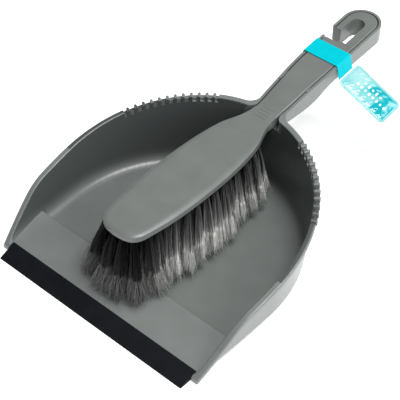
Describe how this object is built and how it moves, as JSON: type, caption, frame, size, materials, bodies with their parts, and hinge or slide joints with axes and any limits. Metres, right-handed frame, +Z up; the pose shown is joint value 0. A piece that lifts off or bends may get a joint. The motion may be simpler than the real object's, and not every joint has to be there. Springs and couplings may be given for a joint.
{
  "type": "dust pan and brush set",
  "caption": "Dust pan with a rubber lip, comb teeth on the rim and a trough-shaped hooked handle, and a hand brush that nests in it, held by a band with a hang tag.",
  "frame": {"origin": "centre of the footprint on the floor: midway between the pan's sides, midway between the lip's front edge and the hook end, at floor level", "axes": "+Z up, +Y from the lip to the hook end, +X to the right seen from the lip"},
  "size_m": [0.227, 0.362, 0.0902],
  "materials": {
    "grey_plastic": "satin moulded polypropylene, mid grey",
    "black_rubber": "smooth matte black",
    "bristle_fibre": "dark synthetic fibres with pale split ends",
    "staple_wire": "plain wire",
    "teal_band": "glossy printed film",
    "clear_teal_film": "translucent pale teal"
  },
  "bodies": {
    "pan": {"pan_body": "grey_plastic", "rubber_lip": "black_rubber"},
    "brush": {"brush_stock": "grey_plastic", "bristle_rank_01": "bristle_fibre", "bristle_rank_02": "bristle_fibre", "bristle_rank_03": "bristle_fibre", "bristle_rank_04": "bristle_fibre", "bristle_rank_05": "bristle_fibre", "bristle_rank_06": "bristle_fibre", "bristle_rank_07": "bristle_fibre", "bristle_rank_08": "bristle_fibre", "bristle_rank_09": "bristle_fibre", "bristle_rank_10": "bristle_fibre", "bristle_rank_11": "bristle_fibre", "bristle_rank_12": "bristle_fibre", "bristle_rank_13": "bristle_fibre", "bristle_rank_14": "bristle_fibre", "bristle_rank_15": "bristle_fibre", "anchors_front": "staple_wire", "anchors_middle": "staple_wire", "anchors_rear": "staple_wire"},
    "band": {"band": "teal_band"},
    "tag": {"tag": "clear_teal_film"}
  },
  "joints": [
    {"name": "brush_lift", "type": "slide", "parent": "pan", "child": "brush", "axis": [0, 0, 1], "range_m": [0, 0.12]},
    {"name": "band_slide", "type": "slide", "parent": "brush", "child": "band", "axis": [0, 0.995, 0.0995], "range_m": [0, 0.085]},
    {"name": "tag_swing", "type": "hinge", "parent": "band", "child": "tag", "pos_m": [0.02095, 0.1179, 0.07183], "axis": [0, 0.995, 0.0995], "range_deg": [-60, 60]}
  ]
}
